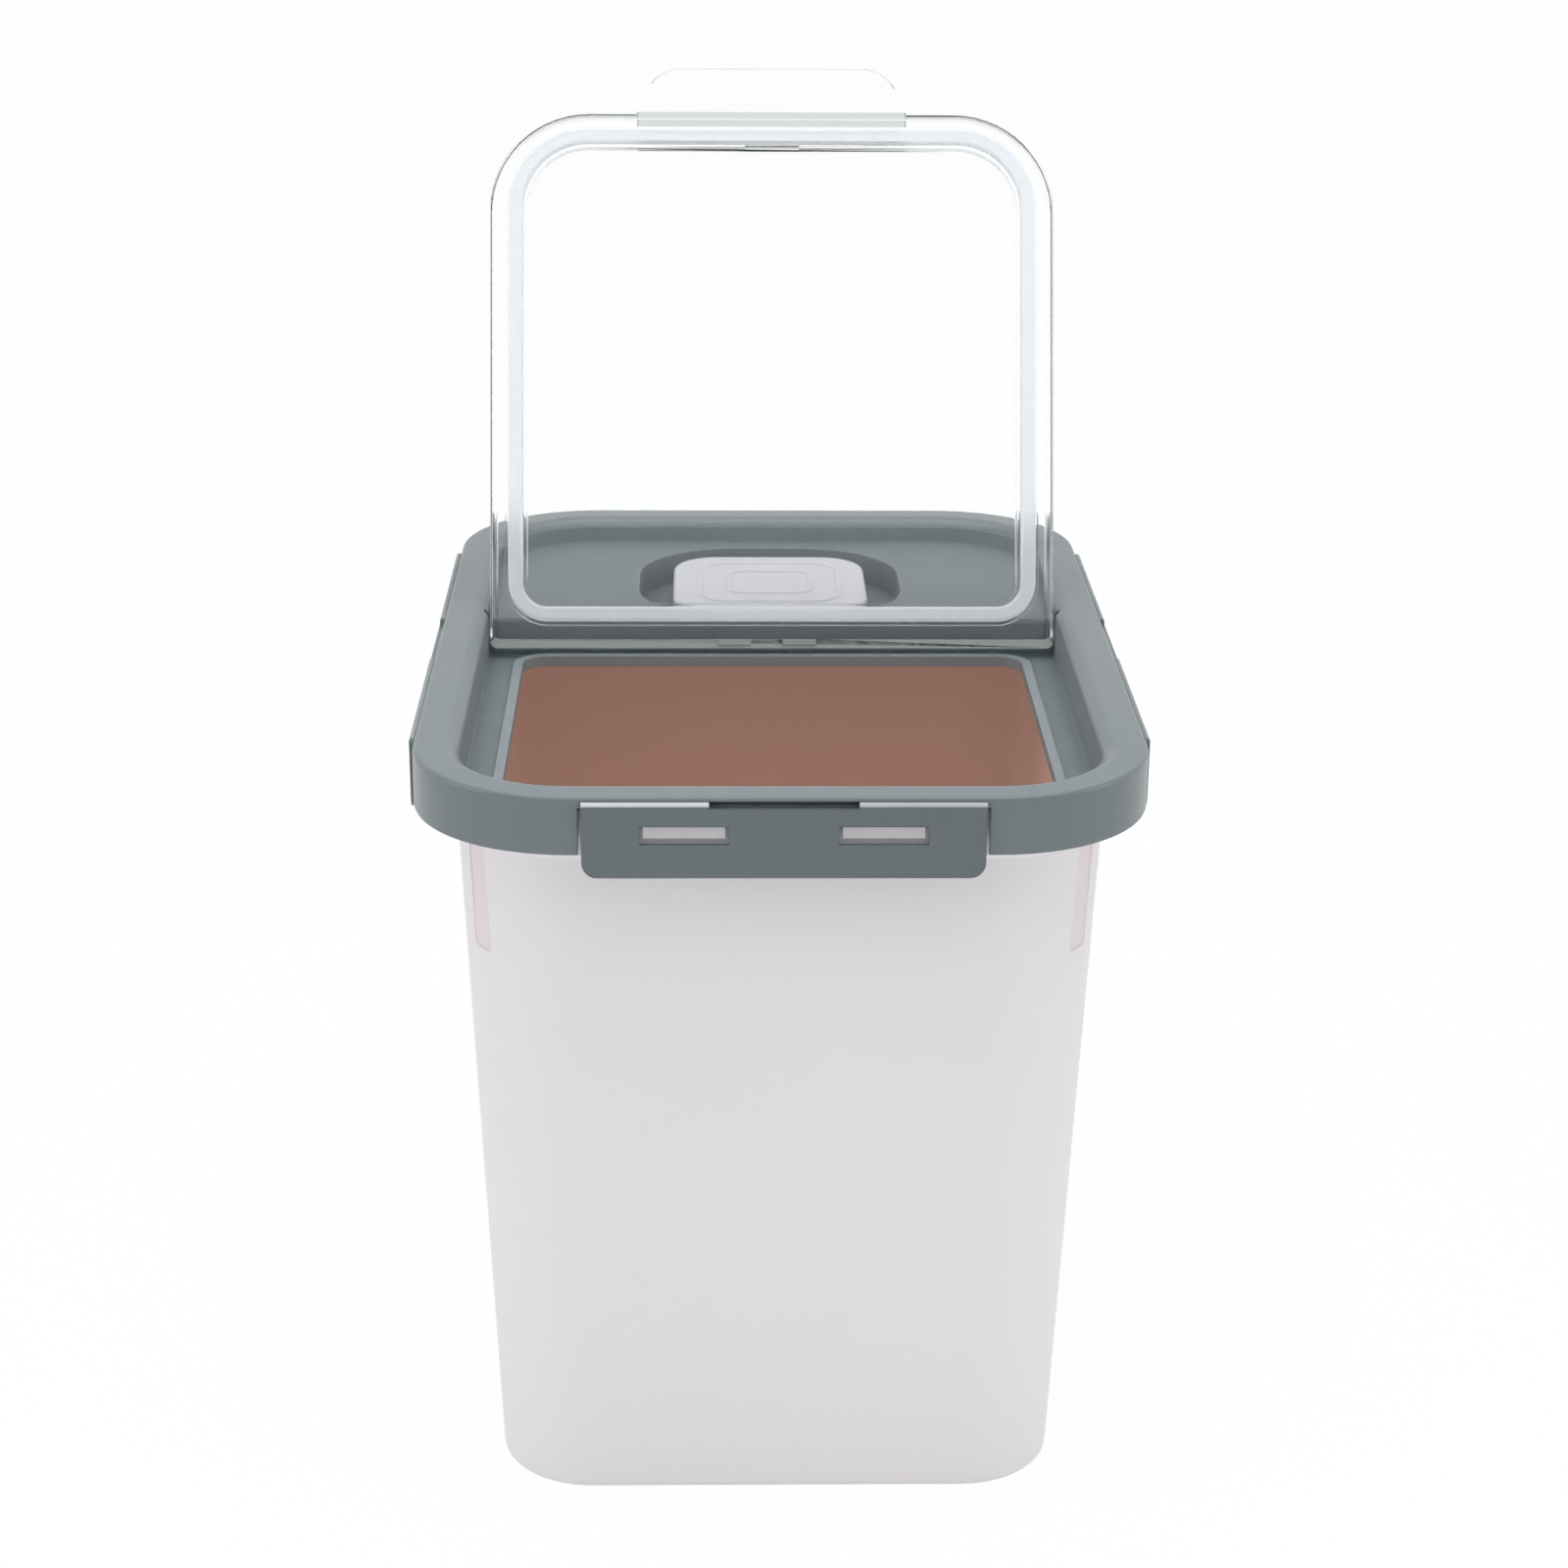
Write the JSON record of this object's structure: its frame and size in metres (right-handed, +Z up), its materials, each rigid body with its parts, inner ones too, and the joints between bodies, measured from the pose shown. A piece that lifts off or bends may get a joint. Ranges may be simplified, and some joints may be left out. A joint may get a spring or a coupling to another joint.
{
  "type": "rice bin with flip lid",
  "caption": "Tapered kitchen bin for rice with a clip-on lid frame, a clear flip lid over the pouring opening, side latches and a desiccant holder in the rear deck.",
  "frame": {"origin": "middle of the base, on the floor that the foot ring stands on", "axes": "+Z up, the front with the pouring opening faces -Y, +X to the right seen from the front"},
  "size_m": [0.244, 0.344, 0.4484],
  "materials": {
    "tub_white": "satin white polypropylene",
    "frame_grey": "satin blue-grey polypropylene",
    "lid_clear": "clear glossy plastic",
    "seal_milky": "milky translucent silicone",
    "cap_white": "satin white polypropylene"
  },
  "bodies": {
    "bin": {"tub": "tub_white", "lid_frame": "frame_grey", "frame_seal": "seal_milky", "desiccant_cup": "cap_white"},
    "flip_lid": {"flip_lid": "lid_clear", "lid_seal": "seal_milky"},
    "front_latch": {"front_latch": "frame_grey"},
    "rear_latch": {"rear_latch": "frame_grey"},
    "left_latch": {"left_latch": "frame_grey"},
    "right_latch": {"right_latch": "frame_grey"},
    "desiccant_cap": {"desiccant_cap": "cap_white", "cap_seal": "seal_milky"}
  },
  "joints": [
    {"name": "lid_hinge", "type": "hinge", "parent": "bin", "child": "flip_lid", "pos_m": [0, 0.037, 0.254], "axis": [1, 0, 0], "range_deg": [0, 110]},
    {"name": "front_latch_hinge", "type": "hinge", "parent": "bin", "child": "front_latch", "pos_m": [0, -0.1709, 0.2609], "axis": [-1, 0, 0], "range_deg": [0, 110]},
    {"name": "rear_latch_hinge", "type": "hinge", "parent": "bin", "child": "rear_latch", "pos_m": [0, 0.1709, 0.2609], "axis": [1, 0, 0], "range_deg": [0, 110]},
    {"name": "left_latch_hinge", "type": "hinge", "parent": "bin", "child": "left_latch", "pos_m": [-0.1209, 0, 0.2609], "axis": [0, 1, 0], "range_deg": [0, 110]},
    {"name": "right_latch_hinge", "type": "hinge", "parent": "bin", "child": "right_latch", "pos_m": [0.1209, 0, 0.2609], "axis": [0, -1, 0], "range_deg": [0, 110]},
    {"name": "desiccant_cap_lift", "type": "slide", "parent": "bin", "child": "desiccant_cap", "axis": [0, 0, 1], "range_m": [0, 0.03]}
  ]
}
